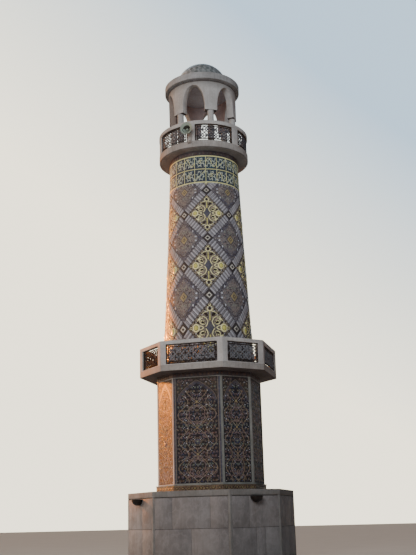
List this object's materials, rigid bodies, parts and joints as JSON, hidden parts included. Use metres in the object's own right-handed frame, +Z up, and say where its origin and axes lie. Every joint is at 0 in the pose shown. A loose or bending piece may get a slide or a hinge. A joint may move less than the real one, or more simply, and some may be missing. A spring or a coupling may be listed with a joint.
{
  "type": "minaret",
  "caption": "Tiled minaret: octagonal stone plinth and lower shaft, two balconies with iron grilles, round tapered shaft, open arched lantern and small dome.",
  "frame": {"origin": "centre of the plinth's underside, at ground level", "axes": "+Z up along the tower's axis, -Y out of the front wide face of the octagon, +X to the right of it"},
  "size_m": [5.426, 5.426, 19.43],
  "materials": {
    "plinth_stone": "honed limestone slabs with cloudy veins and brown runs",
    "render_coat": "fine cement render, weathered",
    "frame_stone": "pale dressed stone strips",
    "mosaic_tile": "dark glazed tile mosaic with ochre scrollwork",
    "shaft_tile": "glazed brick lattice with lozenges of tile mosaic",
    "band_tile": "navy glazed tiles with gold interlace",
    "base_tile": "ochre and brown glazed border tiles",
    "dome_tile": "small grey-green glazed tiles",
    "dark_iron": "dark painted cast iron, a little rusty",
    "horn_metal": "grey-green enamel, chalky"
  },
  "bodies": {
    "root": {"plinth_wall": "plinth_stone", "plinth_coping": "plinth_stone", "uplight_front_right": "dark_iron", "uplight_back_right": "dark_iron", "uplight_back_left": "dark_iron", "uplight_front_left": "dark_iron", "base_band": "base_tile", "lower_shaft": "frame_stone", "mosaic_front": "mosaic_tile", "mosaic_front_right": "mosaic_tile", "mosaic_right": "mosaic_tile", "mosaic_back_right": "mosaic_tile", "mosaic_back": "mosaic_tile", "mosaic_back_left": "mosaic_tile", "mosaic_left": "mosaic_tile", "mosaic_front_left": "mosaic_tile", "lower_balcony_slab": "render_coat", "lower_parapet": "render_coat", "lower_grille_front": "dark_iron", "lower_grille_front_right": "dark_iron", "lower_grille_right": "dark_iron", "lower_grille_back_right": "dark_iron", "lower_grille_back": "dark_iron", "lower_grille_back_left": "dark_iron", "lower_grille_left": "dark_iron", "lower_grille_front_left": "dark_iron", "round_shaft": "shaft_tile", "ornament_band": "band_tile", "upper_balcony_slab": "render_coat", "upper_parapet": "render_coat", "upper_grille_1": "dark_iron", "upper_grille_2": "dark_iron", "upper_grille_3": "dark_iron", "upper_grille_4": "dark_iron", "upper_grille_5": "dark_iron", "upper_grille_6": "dark_iron", "lantern_arcade": "render_coat", "lantern_column_1": "render_coat", "lantern_column_2": "render_coat", "lantern_column_3": "render_coat", "lantern_column_4": "render_coat", "lantern_column_5": "render_coat", "lantern_column_6": "render_coat", "roof_slab": "render_coat", "dome": "dome_tile", "speaker_horn": "horn_metal", "speaker_yoke": "dark_iron"}
  },
  "joints": []
}
